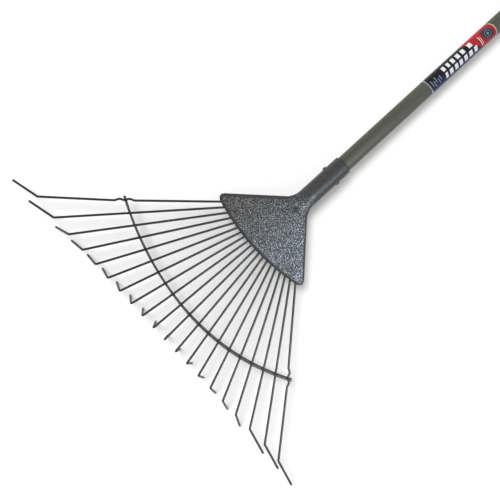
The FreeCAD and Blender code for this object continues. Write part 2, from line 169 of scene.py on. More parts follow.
# Plain marks on the sleeve: where each begins and ends along the handle. The bars' rows give a
# place along it and the arcs where they begin and end.
UPPER_BLOCKS = ((205, 210.5), (214.5, 219.5), (223.5, 229.5), (233.5, 240), (244, 250.5), (258, 265))
LOWER_BLOCKS = (
    (203, 207.5), (211.5, 218), (222, 228), (231.5, 237.5), (241.5, 247.5), (251.5, 258), (262, 268),
)
UPPER_ARCS = (1.6, 9.6)
LOWER_ARCS = (-9.8, -1.6)
LOWER_SLANT = 2.2
FOOT_BARS = ((179, -6, 5), (183, -9, 2), (187, -4, 6), (191, -8, 1), (195, -5, 3))
BAR_WIDTH = 1.7

# Two bent bands: place along the handle, width, and the arcs where they begin and end.
WHITE_BAND = (276.5, 1.0, -11, 6.5)
CREAM_BAND = (279.3, 0.8, -9, 4.5)
BAND_RISE = 1.5
BAND_ROUND = 16
EMBLEM_PLACE = 294.5
EMBLEM_SHAPE = 1.1

CAMERA_PLACE = (-232.8, 73.5, 1199.4)
CAMERA_TARGET = (-190.8, 0.34, 0.0)
CAMERA_ROLL = 42.5
LENS = 57.6

ROOM = 0.58
KEY = 2.1
KEY_ANGLE = 21
KEY_PLACE = (0, 345, 1000)

# Boxes that only reflections see: name, place, target, power, and width in metres.
BOXES = (
    ("flank", (-150, -680, 730), (-150, 0, 0), 10.5, 0.7),
    ("glint", (-240, -265, 330), (-180, -90, 0), 1.4, 0.15),
)
BOX_TINT = (0.90, 0.98, 1.0)


# ---------------------------------------------------------------- frame and meshes

def rest_matrix():
    """Tool frame in millimetres to row frame in metres, from the handle's stated mount."""
    mount = frame["record"]["mounts"][0]
    along = Vector(mount["axis"]).normalized()
    side = Vector((0, 1, 0))
    up = along.cross(side)
    mouth = Vector(mount["pos_m"]) - along * MOUNT_FROM_MOUTH * MM
    turn = Matrix((along, side, up)).transposed().to_4x4()
    return Matrix.Translation(mouth) @ turn @ Matrix.Scale(MM, 4)


REST = rest_matrix()


def new_mesh(name, points, faces, materials, indices=None, smooth=True):
    """A mesh object from tool-frame points; it rides on the one rigid body."""
    mesh = bpy.data.meshes.new(name)
    mesh.from_pydata([REST @ Vector(point) for point in points], [], faces)
    for material in materials:
        mesh.materials.append(material)
    mesh.polygons.foreach_set("use_smooth", [smooth] * len(mesh.polygons))
    if indices is not None:
        mesh.polygons.foreach_set("material_index", indices)
    mesh.validate()
    mesh.update()
    obj = bpy.data.objects.new(name, mesh)
    bpy.context.scene.collection.objects.link(obj)
    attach(obj, "root")
    return obj


def grid_faces(rows, columns, closed=False, offset=0):
    """Quads over a rows by columns grid of points, wrapped round when closed."""
    faces = []
    span = columns if closed else columns - 1
    for row in range(rows - 1):
        for column in range(span):
            right = (column + 1) % columns
            low = offset + row * columns
            high = low + columns
            faces.append((low + column, low + right, high + right, high + column))
    return faces


def smoothstep(value):
    value = np.clip(value, 0.0, 1.0)
    return value * value * (3 - 2 * value)


def unit(vector):
    return vector / np.linalg.norm(vector)


# ---------------------------------------------------------------- materials

class Paint:
    """One node material. Inputs are set by name, and outputs are linked by name."""

    def __init__(self, name):
        self.material = bpy.data.materials.new(name)
        self.material.use_nodes = True
        self.tree = self.material.node_tree
        self.surface = self.tree.nodes["Principled BSDF"]
        self.coords = self.node("ShaderNodeTexCoord")

    def node(self, kind, links=None, **settings):
        made = self.tree.nodes.new(kind)
        for key, value in settings.items():
            if hasattr(made, key):
                setattr(made, key, value)
            else:
                made.inputs[key.replace("_", " ")].default_value = value
        for key, source in (links or {}).items():
            self.tree.links.new(source, made.inputs[key])
        return made

    def mapping(self, scale, turn):
        """Object coordinates turned about Y, then scaled."""
        made = self.node("ShaderNodeMapping", {"Vector": self.coords.outputs["Object"]})
        made.inputs["Scale"].default_value = scale
        made.inputs["Rotation"].default_value = (0, turn, 0)
        return made.outputs["Vector"]

    def noise(self, vector, scale, detail=3.0, roughness=0.5):
        made = self.node("ShaderNodeTexNoise", {"Vector": vector}, Scale=scale, Detail=detail)
        made.inputs["Roughness"].default_value = roughness
        return made.outputs["Fac"]

    def voronoi(self, vector, scale, dimensions="3D"):
        made = self.node("ShaderNodeTexVoronoi", voronoi_dimensions=dimensions, Scale=scale)
        self.tree.links.new(vector, made.inputs["Vector"])
        return made

    def attribute(self, name):
        return self.node("ShaderNodeAttribute", attribute_name=name)

    def between(self, axis, start, end):
        """0 to 1 from start to end along X or Y, in metres from the centre of the socket's mouth."""
        split = self.node("ShaderNodeSeparateXYZ", {"Vector": self.coords.outputs["Object"]})
        made = self.node("ShaderNodeMapRange", {"Value": split.outputs[axis]})
        origin = REST.translation["XYZ".index(axis)]
        made.inputs["From Min"].default_value = start + origin
        made.inputs["From Max"].default_value = end + origin
        return made.outputs["Result"]

    def math(self, operation, *values):
        made = self.node("ShaderNodeMath", operation=operation)
        for socket, value in zip(made.inputs, values):
            if isinstance(value, bpy.types.NodeSocket):
                self.tree.links.new(value, socket)
            else:
                socket.default_value = value
        return made.outputs["Value"]

    def ramp(self, value, *stops):
        """Colour ramp; each stop is a place and a grey level or a colour."""
        made = self.node("ShaderNodeValToRGB", {"Fac": value})
        elements = made.color_ramp.elements
        while len(elements) < len(stops):
            elements.new(0.5)
        for element, (place, level) in zip(elements, stops):
            colour = (level,) * 3 if isinstance(level, (int, float)) else level
            element.position = place
            element.color = (*colour, 1)
        return made.outputs["Color"]

    def mix(self, factor, first, second, blend="MIX"):
        made = self.node("ShaderNodeMix", data_type="RGBA", blend_type=blend)
        sockets = made.inputs[0], made.inputs[6], made.inputs[7]
        for socket, value in zip(sockets, (factor, first, second)):
            if isinstance(value, bpy.types.NodeSocket):
                self.tree.links.new(value, socket)
            elif isinstance(value, tuple):
                socket.default_value = (*value, 1)
            else:
                socket.default_value = value
        return made.outputs[2]

    def bump(self, height, strength, distance, normal=None):
        links = {"Height": height}
        if normal:
            links["Normal"] = normal
        made = self.node("ShaderNodeBump", links)
        made.inputs["Strength"].default_value = strength
        made.inputs["Distance"].default_value = distance
        return made.outputs["Normal"]

    def finish(self, colour=None, roughness=None, normal=None, **settings):
        for name, value in (("Base Color", colour), ("Roughness", roughness), ("Normal", normal)):
            if isinstance(value, bpy.types.NodeSocket):
                self.tree.links.new(value, self.surface.inputs[name])
            elif isinstance(value, tuple):
                self.surface.inputs[name].default_value = (*value, 1)
            elif value is not None:
                self.surface.inputs[name].default_value = value
        for key, value in settings.items():
            self.surface.inputs[key.replace("_", " ")].default_value = value
        return self.material


def hammertone_paint(name, layout):
    """Grey-blue hammertone: close bright pebbles over a dark ground, with a painted blue reflection
    towards the -Y side.

    The "sheet" layout follows the pressing's stored places, and is smooth at its folded edges; its
    smooth, darker paint also runs along the front, and is painted shade along tine 1's side and round
    the rivets' recesses.
    """
    paint = Paint(name)
    place = paint.coords.outputs["Object"]
    if layout == "sheet":
        pebbles = paint.voronoi(paint.attribute("sheet").outputs["Vector"], PEBBLES, "2D")
        smooth_paint_and_shade = paint.attribute("rim").outputs["Fac"]
    else:
        pebbles = paint.voronoi(place, PEBBLES, layout)
        smooth_paint_and_shade = 0.0
    drift = paint.noise(place, 30.0, 3.0)
    glint = paint.ramp(pebbles.outputs["Distance"], (0.08, 1.0), (0.47, 0.0))
    share = paint.ramp(pebbles.outputs["Color"], (0.20, 0.04), (0.65, 0.40), (0.90, 1.0))
    speck = paint.mix(1.0, glint, share, "MULTIPLY")
    # Smooth paint drops the bright pebbles; along tine 1's side and round the recess walls this is
    # painted shade.
    speck = paint.mix(smooth_paint_and_shade, speck, (0.0, 0.0, 0.0))
    # Painted reflection: towards the -Y side the ground turns blue and the flakes brighter and bluer,
    # as if a bluish lamp shone there.
    blue_reflection_side = paint.between("Y", 0.060, -0.035)
    ground = paint.mix(blue_reflection_side, (0.014, 0.0135, 0.013), (0.012, 0.0145, 0.020))
    ground = paint.mix(drift, ground, (0.022, 0.023, 0.026))
    # The smooth paint's own ground: a finish on the folded rims and socket, painted shade along tine
    # 1's side and in the recesses.
    ground = paint.mix(smooth_paint_and_shade, ground, (0.034, 0.034, 0.033))
    flake_and_reflection = paint.mix(blue_reflection_side, (0.62, 0.60, 0.56), (0.78, 0.87, 1.0))
    colour = paint.mix(speck, ground, flake_and_reflection)
    height = paint.ramp(pebbles.outputs["Distance"], (0.0, 1.0), (0.7, 0.0))
    if layout == "sheet":
        level = paint.ramp(smooth_paint_and_shade, (0.0, 0.0), (SOCKET_SMOOTH, 0.55), (1.0, 1.0))
        height = paint.mix(level, height, (0.5, 0.5, 0.5))
    normal = paint.bump(height, 1.0, 0.00025)
    paint.tree.links.new(speck, paint.surface.inputs["Metallic"])
    return paint.finish(colour, 0.36, normal, Specular_IOR_Level=0.3)


def crossing_shade(paint):
    """1 at the brace's crossings with the tines, which lie at equal steps along its arc: the mask of
    the painted shade there.
    """
    split = paint.node("ShaderNodeSeparateXYZ", {"Vector": paint.coords.outputs["Object"]})
    centre = REST @ Vector((BRACE_RADIUS - BRACE_REACH, 0, 0))
    ahead = paint.math("SUBTRACT", centre.x, split.outputs["X"])
    aside = paint.math("SUBTRACT", split.outputs["Y"], centre.y)
    steps = paint.math("MULTIPLY", paint.math("ARCTAN2", aside, ahead), BRACE_RADIUS / BRACE_PITCH)
    halves = paint.math("PINGPONG", steps, 0.5)
    reach = CROSSING_SHADE_REACH / BRACE_PITCH
    return paint.ramp(halves, (0.5 - 2 * reach, 0.0), (0.5 - reach, 1.0))


def wire_paint(name, base, shaded_crossings=False):
    """Satin dark grey paint on wire, with faint patches and runs, and on the brace painted shade
    where the tines cross it.
    """
    paint = Paint(name)
    place = paint.coords.outputs["Object"]
    patches = paint.noise(place, 60.0, 4.0)
    fine = paint.noise(place, 900.0, 2.0)
    lighter = tuple(channel * 1.6 for channel in base)
    colour = paint.mix(patches, base, lighter)
    if shaded_crossings:
        # Painted shade at the brace's crossings with the tines.
        colour = paint.mix(crossing_shade(paint), colour, CROSSING_SHADE_GREY)
    rough = paint.ramp(patches, (0.3, 0.34), (0.7, 0.5))
    normal = paint.bump(fine, 0.25, 0.0002)
    return paint.finish(colour, rough, normal, Metallic=0.2)


def stained_wood():
    """Grey-olive stained hardwood with fine lengthwise grain and pores, and painted shade where it
    goes into the socket.
    """
    paint = Paint("stained_wood")
    turn = -REST.to_euler().y
    long = paint.mapping((1.0, 22.0, 22.0), turn)
    streaks = paint.noise(long, 9.0, 5.0, 0.6)
    fibres = paint.noise(paint.mapping((3.0, 160.0, 160.0), turn), 10.0, 3.0, 0.6)
    pores = paint.voronoi(paint.mapping((14.0, 420.0, 420.0), turn), 4.0).outputs["Distance"]
    tone = paint.ramp(streaks, (0.30, (0.057, 0.058, 0.045)), (0.70, (0.083, 0.085, 0.066)))
    fine = paint.ramp(fibres, (0.35, 0.78), (0.65, 1.0))
    dark = paint.ramp(pores, (0.02, 0.70), (0.12, 1.0))
    colour = paint.mix(1.0, tone, fine, "MULTIPLY")
    colour = paint.mix(1.0, colour, dark, "MULTIPLY")
    # Painted shade: the wood darkens over its first millimetres out of the socket's mouth.
    mouth_shade = paint.ramp(paint.between("X", 0.0, 0.004), (0.2, 0.25), (0.8, 1.0))
    colour = paint.mix(1.0, colour, mouth_shade, "MULTIPLY")
    rough = paint.ramp(fibres, (0.3, 0.52), (0.7, 0.40))
    normal = paint.bump(fibres, 0.25, 0.0003)
    normal = paint.bump(pores, 0.2, 0.0002, normal)
    return paint.finish(colour, rough, normal, Specular_IOR_Level=0.45)


def film(name, base, roughness=0.28, metallic=0.0):
    """Printed gloss film, with a little unevenness in the ink."""
    paint = Paint(name)
    place = paint.coords.outputs["Object"]
    ink = paint.noise(place, 350.0, 3.0)
    deeper = tuple(channel * 0.85 for channel in base)
    colour = paint.mix(ink, deeper, base)
    wrinkles = paint.noise(place, 90.0, 2.0)
    normal = paint.bump(wrinkles, 0.06, 0.0005)
    return paint.finish(colour, roughness, normal, Metallic=metallic, Specular_IOR_Level=0.25)


def printed_ground():
    """The film's ground colour: near black, turning navy towards one side."""
    paint = Paint("label_ground")
    ink = paint.noise(paint.coords.outputs["Object"], 350.0, 3.0)
    black = paint.mix(ink, (0.006, 0.006, 0.009), (0.009, 0.009, 0.013))
    navy = paint.mix(ink, (0.018, 0.019, 0.085), (0.022, 0.023, 0.100))
    colour = paint.mix(paint.between("Y", 0.002, -0.010), black, navy)
    return paint.finish(colour, 0.28, Specular_IOR_Level=0.25)


# ---------------------------------------------------------------- pressed head

def half_width(reach):
    """Half the pressing's width: the socket, a fillet, then sides at 45 degrees."""
    past = reach - FILLET_START
    if past <= 0:
        return SOCKET_RADIUS
    if past < NECK_FILLET * math.sin(math.radians(45)):
        return SOCKET_RADIUS + NECK_FILLET - math.sqrt(NECK_FILLET ** 2 - past ** 2)
    return reach - SIDE_START


def tube_profile(shares):
    """Round the rolled socket, from seam edge to seam edge."""
    angle = shares * (math.pi - math.asin(SEAM / 2 / SOCKET_RADIUS))
    return SOCKET_RADIUS * np.sin(angle), SOCKET_RADIUS * np.cos(angle)


def plate_profile(shares, width, shoulder):
    """Across the plate: level top, rounded shoulders and rims turned down."""
    size = np.abs(shares)
    flat = np.clip(size / FLAT_SHARE, 0, 1)
    turn = np.clip((size - FLAT_SHARE) / (SHOULDER_SHARE - FLAT_SHARE), 0, 1) * math.pi / 2
    leg = np.clip((size - SHOULDER_SHARE) / (1 - SHOULDER_SHARE), 0, 1)
    y = (width - shoulder) * flat + shoulder * np.sin(turn)
    z = PLATE_TOP - SHOULDER * (1 - np.cos(turn)) - leg * RIM_LEG
    return np.sign(shares) * y, z


def neck_profile(reach, shares):
    """The pressing's cross-section where the socket opens out into the plate."""
    mix = float(smoothstep((reach - NECK_START) / (NECK_END - NECK_START)))
    width = half_width(reach)
    tube_y, tube_z = tube_profile(shares)
    shoulder = SHOULDER / math.cos(outline_turn(reach))
    flat_y, flat_z = plate_profile(shares, width, shoulder)
    y = (1 - mix) * tube_y + mix * flat_y
    z = (1 - mix) * tube_z + mix * flat_z
    everywhere = np.linspace(0, 1, 81)
    flat_widths = plate_profile(everywhere, width, shoulder)[0]
    widest = ((1 - mix) * tube_profile(everywhere)[0] + mix * flat_widths).max()
    return y * width / widest, z


def outline_turn(reach):
    """The outline's turn away from square: 0 along the socket, 45 degrees along the sides."""
    rise = min(max((reach - FILLET_START) / NECK_FILLET, 0.0), math.sin(math.radians(45)))
    return math.asin(rise)


def front_curve(width, inset):
    """Reach of the front edge's arc at a distance off the centre line."""
    return np.sqrt((FRONT_RADIUS - inset) ** 2 - width ** 2) + FRONT_REACH - FRONT_RADIUS


def side_meets_front(inset):
    """Reach and half width where the inset side line crosses the inset front arc."""
    centre = FRONT_REACH - FRONT_RADIUS
    shift = SIDE_START + inset * math.sqrt(2)
    radius = FRONT_RADIUS - inset
    reach = (shift + centre + math.sqrt(2 * radius ** 2 - (shift - centre) ** 2)) / 2
    return reach, reach - shift


def tine_direction(step):
    return unit(brace_point(step) - APEX)


def brace_point(step):
    """Where a tine crosses the brace: equal steps along the brace's arc."""
    angle = step * BRACE_PITCH / BRACE_RADIUS
    x = BRACE_RADIUS * (1 - math.cos(angle)) - BRACE_REACH
    return np.array([x, BRACE_RADIUS * math.sin(angle), 0.0])


def head_rivets():
    """Plan positions of the head's rivets; the side ones sit between two tines."""
    side = unit(tine_direction(8.5) + tine_direction(7.5)) * SIDE_RIVET_RADIUS + APEX
    return {
        "neck_rivet": (-NECK_RIVET_REACH, 0.0),
        "front_rivet": (-FRONT_RIVET_REACH, 0.0),
        "left_rivet": (side[0], side[1]),
        "right_rivet": (side[0], -side[1]),
    }


def relief(x, y):
    """Height of the plate over its level: a swell behind the neck, recesses at the rivets."""
    reach = -x
    rise = smoothstep((reach - NECK_START) / SWELL_RISE)
    swell = rise * (1 - smoothstep((reach - SWELL_TOP) / SWELL_FALL))
    edge = 1 - (y / np.maximum(reach - SIDE_START, SWELL_WIDTH)) ** 2
    height = SWELL_HEIGHT * swell * np.clip(edge, 0, 1)
    for centre_x, centre_y in head_rivets().values():
        distance = np.hypot(x - centre_x, y - centre_y)
        wall = (distance - DIMPLE_FLOOR) / (DIMPLE_RADIUS - DIMPLE_FLOOR)
        height -= DIMPLE_DEPTH * (1 - smoothstep(wall))
    return height


def corner():
    """Centre of the corner's rounding on the +Y side, and the normals where it starts and ends."""
    reach, width = side_meets_front(CORNER_RADIUS)
    side_normal = np.array([1.0, 1.0]) / math.sqrt(2)
    front_normal = unit(np.array([-reach - (FRONT_RADIUS - FRONT_REACH), width]))
    return np.array([-reach, width]), side_normal, front_normal


def in_corner(offset):
    """Whether an offset from the corner's centre points between its two normals."""
    side_normal, front_normal = corner()[1:]
    middle = unit(side_normal + front_normal)
    return offset @ middle > np.linalg.norm(offset) * (middle @ side_normal) + 1e-6


def round_corner(x, y):
    """Turn the sharp corners of the deck's rows into arcs about the corner's centre."""
    centre, side_normal, front_normal = corner()
    for index in range(len(x)):
        offset = np.array([x[index], abs(y[index])]) - centre
        if in_corner(offset):
            farthest = max(offset @ side_normal, offset @ front_normal)
            offset *= farthest / np.linalg.norm(offset)
            x[index] = centre[0] + offset[0]
            y[index] = math.copysign(centre[1] + offset[1], y[index])


def deck_rows():
    """The pressing's upper face without its rims: rows down the reach, columns across."""
    shares = np.linspace(-FLAT_SHARE, FLAT_SHARE, DECK_COLUMNS)
    rows = []
    for reach in np.linspace(RIM_BULGE, NECK_END, NECK_ROWS):
        y, z = neck_profile(reach, shares)
        rows.append(np.column_stack([np.full_like(y, -reach), y, z]))
    corner_reach, corner_width = side_meets_front(SHOULDER)
    for step in np.linspace(0, 1, PLATE_ROWS)[1:]:
        reach = NECK_END + (corner_reach - NECK_END) * step
        y = shares / FLAT_SHARE * (reach - SIDE_START - SHOULDER * math.sqrt(2))
        arc = front_curve(shares / FLAT_SHARE * corner_width, SHOULDER) - corner_reach
        x = -(reach + arc * step ** FRONT_EASE)
        round_corner(x, y)
        rows.append(np.column_stack([x, y, np.full_like(x, PLATE_TOP)]))
    deck = np.array(rows)
    deck[:, :, 2] += relief(deck[:, :, 0], deck[:, :, 1])
    return deck


def rim_steps(front):
    """Outward and downward steps of a rim: full depth at the sides, a short lip in front."""
    turn = math.radians(90 - 45 * front)
    leg = (1 - front) * RIM_LEG + front * LIP_LEG
    angles = np.linspace(0, turn, ARC_STEPS + 1)[1:]
    lengths = np.linspace(0, leg, LEG_STEPS + 1)[1:]
    leg_out = SHOULDER * math.sin(turn) + lengths * math.cos(turn)
    leg_down = SHOULDER * (1 - math.cos(turn)) + lengths * math.sin(turn)
    out = np.concatenate([SHOULDER * np.sin(angles), leg_out])
    down = np.concatenate([SHOULDER * (1 - np.cos(angles)), leg_down])
    return out, down


def neck_rim(row, side):
    """The rest of a neck section, past the deck: shoulder and leg, or the tube's lower half."""
    reach = -row[0][0]
    arc = np.linspace(FLAT_SHARE, SHOULDER_SHARE, ARC_STEPS + 1)
    leg = np.linspace(SHOULDER_SHARE, 1, LEG_STEPS + 1)[1:]
    y, z = neck_profile(reach, np.concatenate([arc, leg]))
    turn = outline_turn(reach)
    outward = (y[1:] - y[0]) * math.cos(turn)
    x = -reach + outward * math.sin(turn)
    return np.column_stack([x, side * (y[0] + outward * math.cos(turn)), z[1:]])


def plate_rim(point, at_front):
    """Shoulder and leg beyond a point of the deck's edge, and how far it is front edge."""
    centre, side_normal, front_normal = corner()
    flat = np.array([point[0], abs(point[1])])
    offset = flat - centre
    if in_corner(offset):
        normal = unit(offset)
        share = math.acos(normal @ side_normal) / math.acos(front_normal @ side_normal)
    elif at_front:
        normal = unit(flat - np.array([FRONT_RADIUS - FRONT_REACH, 0.0]))
        share = 1.0
    else:
        normal = side_normal
        share = 0.0
    front = float(smoothstep(share / CORNER_SHARE))
    out, down = rim_steps(front)
    x = flat[0] + normal[0] * out
    y = np.copysign(flat[1] + normal[1] * out, point[1])
    return np.column_stack([x, y, point[2] - down]), front


def surface_normals(points, faces):
    """Unit normals at the points, from the quads around each."""
    quads = np.array(faces)
    first = points[quads[:, 2]] - points[quads[:, 0]]
    second = points[quads[:, 3]] - points[quads[:, 1]]
    normals = np.zeros_like(points)
    for corner_index in range(4):
        np.add.at(normals, quads[:, corner_index], np.cross(first, second))
    return normals / np.linalg.norm(normals, axis=1)[:, None]


def deck_border(count):
    """Grid places down one side of the deck, across its front and back up the other side."""
    last = DECK_COLUMNS - 1
    border = [(row, last) for row in range(count)]
    border += [(count - 1, column) for column in range(last - 1, 0, -1)]
    return border + [(row, 0) for row in range(count - 1, -1, -1)]


def make_rims(deck, border):
    """Each rim's points beyond the deck's border, and how far each rim is front edge."""
    rims = []
    fronts = []
    for row, column in border:
        if row < NECK_ROWS:
            rim = neck_rim(deck[row][[column]], 1 if column else -1)
            front = 0.0
        else:
            rim, front = plate_rim(deck[row, column], row == len(deck) - 1)
        rims.append(rim)
        fronts.append(front)
    return np.array(rims), np.array(fronts)


def inner_face(points, normals, rings, fronts):
    """The sheet's inner face: one thickness in, but never low enough to touch the tines.

    The rims' limit holds in the socket too, so its lower half is flat inside, through the handle.
    """
    inside = points - normals * STEEL
    lowest = np.full(len(points), -np.inf)
    lowest[NECK_ROWS * DECK_COLUMNS:rings[1][0]] = UNDERSIDE
    lowest[np.array(rings[1:])] = UNDERSIDE - (1 - fronts) * SIDE_CLEARANCE
    inside[:, 2] = np.maximum(inside[:, 2], lowest)
    return inside


def make_pressing(material):
    """The head's top plate and socket: one folded sheet with rounded edges."""
    deck = deck_rows()
    border = deck_border(len(deck))
    rims, fronts = make_rims(deck, border)
    points = np.concatenate([deck.reshape(-1, 3), rims.transpose(1, 0, 2).reshape(-1, 3)])
    rings = [[row * DECK_COLUMNS + column for row, column in border]]
    rings += np.arange(len(deck) * DECK_COLUMNS, len(points)).reshape(-1, len(border)).tolist()
    faces = grid_faces(len(deck), DECK_COLUMNS)
    for inner, outer in zip(rings, rings[1:]):
        for a in range(len(border) - 1):
            faces.append((inner[a], outer[a], outer[a + 1], inner[a + 1]))
    edge = rings[-1] + [ring[-1] for ring in rings[-2:0:-1]]
    edge += list(range(DECK_COLUMNS)) + [ring[0] for ring in rings[1:-1]]
    normals = surface_normals(points, faces)
    inside = inner_face(points, normals, rings, fronts)
    obj = close_sheet("head_top_pressing", points, inside, faces, edge, normals, material)
    mark_sheet(obj, *sheet_places(deck, border, rims), edge)
    return obj


def sheet_places(deck, border, rims):
    """Each point's place on the flat sheet, and the smooth paint's share there, painted shade
    included.
    """
    flat = unrolled(deck)
    rows, columns = np.array(border).T
    rim_flat = unrolled_rims(flat[rows, columns], deck[rows, columns], rims, rows < NECK_ROWS)
    flat = np.concatenate([flat.reshape(-1, 2), rim_flat.transpose(1, 0, 2).reshape(-1, 2)])
    fade = np.minimum(np.arange(1, rims.shape[1] + 1) / SMOOTH_RINGS, 1.0)
    smooth = np.concatenate([smooth_and_shaded_places(deck).ravel(), np.repeat(fade, len(border))])
    return flat, smooth


def mark_sheet(obj, flat, smooth, edge):
    """Store the flat sheet's places and the smooth paint's share, painted shade included, on a
    pressing's points.
    """
    flat = np.concatenate([flat, flat, *[flat[edge]] * 3]) * MM
    smooth = np.concatenate([smooth, smooth, np.ones(3 * len(edge))])
    places = np.column_stack([flat, np.zeros(len(flat))])
    sheet = obj.data.attributes.new("sheet", "FLOAT_VECTOR", "POINT")
    sheet.data.foreach_set("vector", places.ravel())
    # The "rim" share also carries the painted shade along tine 1's side and round the recess walls.
    rim = obj.data.attributes.new("rim", "FLOAT", "POINT")
    rim.data.foreach_set("value", smooth)


def unrolled(deck):
    """The deck's places on the flat sheet: along the reach, and round each section."""
    steps = np.linalg.norm(np.diff(deck, axis=1), axis=2)
    across = np.concatenate([np.zeros((len(deck), 1)), np.cumsum(steps, axis=1)], axis=1)
    across -= across[:, [DECK_COLUMNS // 2]]
    return np.dstack([deck[:, :, 0], across])


def unrolled_rims(flat_edge, edge_points, rims, in_neck):
    """The same for the rims: each step carries on square to the deck's edge."""
    path = np.concatenate([edge_points[:, None], rims], axis=1)
    lengths = np.cumsum(np.linalg.norm(np.diff(path, axis=1), axis=2), axis=1)
    ways = rims[:, 0, :2] - edge_points[:, :2]
    ways /= np.maximum(np.linalg.norm(ways, axis=1), 1e-9)[:, None]
    ways[in_neck] = np.column_stack([np.zeros(in_neck.sum()), np.sign(flat_edge[in_neck, 1])])
    return flat_edge[:, None] + ways[:, None] * lengths[:, :, None]


def smooth_and_shaded_places(deck):
    """Where the paint lies smooth and darker: by the front, on the socket, and as painted shade by
    one side and in recesses.
    """
    to_front = deck[:, :, 0] - deck[-1, :, 0]
    to_side = (deck[:, -1:, 1] - deck[:, :, 1]) / math.sqrt(2)
    to_side[:NECK_ROWS] = SMOOTH_AND_SHADE_BAND
    smooth = 1 - smoothstep(np.minimum(to_front, to_side) / SMOOTH_AND_SHADE_BAND)
    opened = smoothstep((-deck[:, :, 0] - NECK_START) / (NECK_END - NECK_START))
    smooth = np.maximum(smooth, SOCKET_SMOOTH * (1 - opened))
    for centre_x, centre_y in head_rivets().values():
        distance = np.hypot(deck[:, :, 0] - centre_x, deck[:, :, 1] - centre_y)
        smooth = np.maximum(smooth, 1 - smoothstep((distance - DIMPLE_FLOOR) / SMOOTH_SHADE_WALL))
    return smooth


def close_sheet(name, points, inside, faces, edge, normals, material):
    """Join a sheet's two faces by a rounded edge all round."""
    count = len(points)
    edge_points = points[edge]
    along = np.roll(edge_points, -1, axis=0) - np.roll(edge_points, 1, axis=0)
    outward = np.cross(along, normals[edge])
    outward /= np.linalg.norm(outward, axis=1)[:, None]
    middle = (edge_points + inside[edge]) / 2
    half = (edge_points - inside[edge]) / 2
    everything = [*points, *inside]
    strips = [list(edge)]
    for turn in (45, 90, 135):
        angle = math.radians(turn)
        strips.append(list(range(len(everything), len(everything) + len(edge))))
        everything.extend(middle + half * math.cos(angle) + outward * RIM_BULGE * math.sin(angle))
    strips.append([index + count for index in edge])
    quads = list(faces)
    quads += [tuple(index + count for index in reversed(face)) for face in faces]
    for inner, outer in zip(strips, strips[1:]):
        for a in range(len(edge)):
            b = (a + 1) % len(edge)
            quads.append((inner[a], outer[a], outer[b], inner[b]))
    return new_mesh(name, everything, quads, [material])


# ---------------------------------------------------------------- turned pieces

def lathe(name, centre, profile, material, segments=48):
    """Turn a profile of (radius, height) about an upright axis; its ends lie on the axis."""
    centre = np.array(centre, float)
    upright = np.array([0.0, 0.0, 1.0])
    points = [centre + upright * profile[0][1]]
    for radius, height in profile[1:-1]:
        for step in range(segments):
            angle = 2 * math.pi * step / segments
            around = np.array([-math.sin(angle), math.cos(angle), 0.0])
            points.append(centre + upright * height + around * radius)
    points.append(centre + upright * profile[-1][1])
    rings = len(profile) - 2
    faces = grid_faces(rings, segments, closed=True, offset=1)
    faces += [(0, 1 + (step + 1) % segments, 1 + step) for step in range(segments)]
    last_ring = 1 + (rings - 1) * segments
    tip = len(points) - 1
    faces += [(tip, last_ring + step, last_ring + (step + 1) % segments) for step in range(segments)]
    return new_mesh(name, points, faces, [material])


def arc_profile(radius, height, top, steps=10):
    """A low dome's profile, from its pole out to its edge, above the level top."""
    return [
        (radius * math.sin(angle), top + height * math.cos(angle))
        for angle in np.linspace(0, math.pi / 2, steps)
    ]


def make_head_rivet(name, place, material):
    """Rivet through both plates: a low dome sunk in its recess above, a flatter one below.

    The swell lifts the neck rivet's recess over its dome, so that dome doesn't show.
    """
    seat = PLATE_TOP - DIMPLE_DEPTH - RIVET_SINK
    upper = arc_profile(RIVET_HEAD, RIVET_DOME, seat)
    lower = [(radius, -height) for radius, height in arc_profile(RIVET_HEAD, RIVET_TAIL, BOTTOM_FACE)]
    shank = [(RIVET_SHANK, seat - RIVET_LIP), (RIVET_SHANK, -BOTTOM_FACE)]
    profile = upper + shank + lower[::-1]
    rivet = lathe(name + "_formed", (*place, 0.0), profile, material)
    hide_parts(name)


# ---------------------------------------------------------------- label

def handle_radius(distance):
    share = min(max(distance / TAPER_LENGTH, 0.0), 1.0)
    return HANDLE_RADIUS + (GRIP_RADIUS - HANDLE_RADIUS) * share


class Wrap:
    """Thin closed patches lying round the handle, gathered into one mesh."""

    def __init__(self):
        self.points = []
        self.faces = []
        self.indices = []

    def on_handle(self, distance, arc, lift):
        radius = handle_radius(distance) + lift
        angle = arc / HANDLE_RADIUS
        return (distance, radius * math.sin(angle), radius * math.cos(angle))

    def patch(self, place, layer, material, rows, columns):
        """A patch whose outline comes from place(u, v), giving distance and arc in mm."""
        start = len(self.points)
        for lift in reversed(layer):
            for row in range(rows):
                for column in range(columns):
                    distance, arc = place(row / (rows - 1), column / (columns - 1))
                    self.points.append(self.on_handle(distance, arc, lift))
        size = rows * columns
        top = grid_faces(rows, columns, offset=start)
        faces = top + [tuple(index + size for index in reversed(face)) for face in top]
        rim = [row * columns for row in range(rows)]
        rim += [(rows - 1) * columns + column for column in range(1, columns)]
        rim += [row * columns + columns - 1 for row in range(rows - 2, -1, -1)]
        rim += [column for column in range(columns - 2, 0, -1)]
        for a, b in zip(rim, rim[1:] + rim[:1]):
            a, b = start + a, start + b
            faces.append((a, b, b + size, a + size))
        self.faces += faces
        self.indices += [material] * len(faces)

    def finish(self, name, materials):
        return new_mesh(name, self.points, self.faces, materials, self.indices, smooth=False)


def label_end(arc):
    """The printed sleeve's upper end, rounded towards the grip."""
    rise = math.sqrt(max(0, 1 - (arc / LABEL_ROUND) ** 2))
    return LABEL_SHOULDER + (LABEL_END - LABEL_SHOULDER) * rise


def arc_at(v):
    """Arc at a share of the sleeve's way round the handle."""
    return LABEL_HALF * (2 * v - 1)


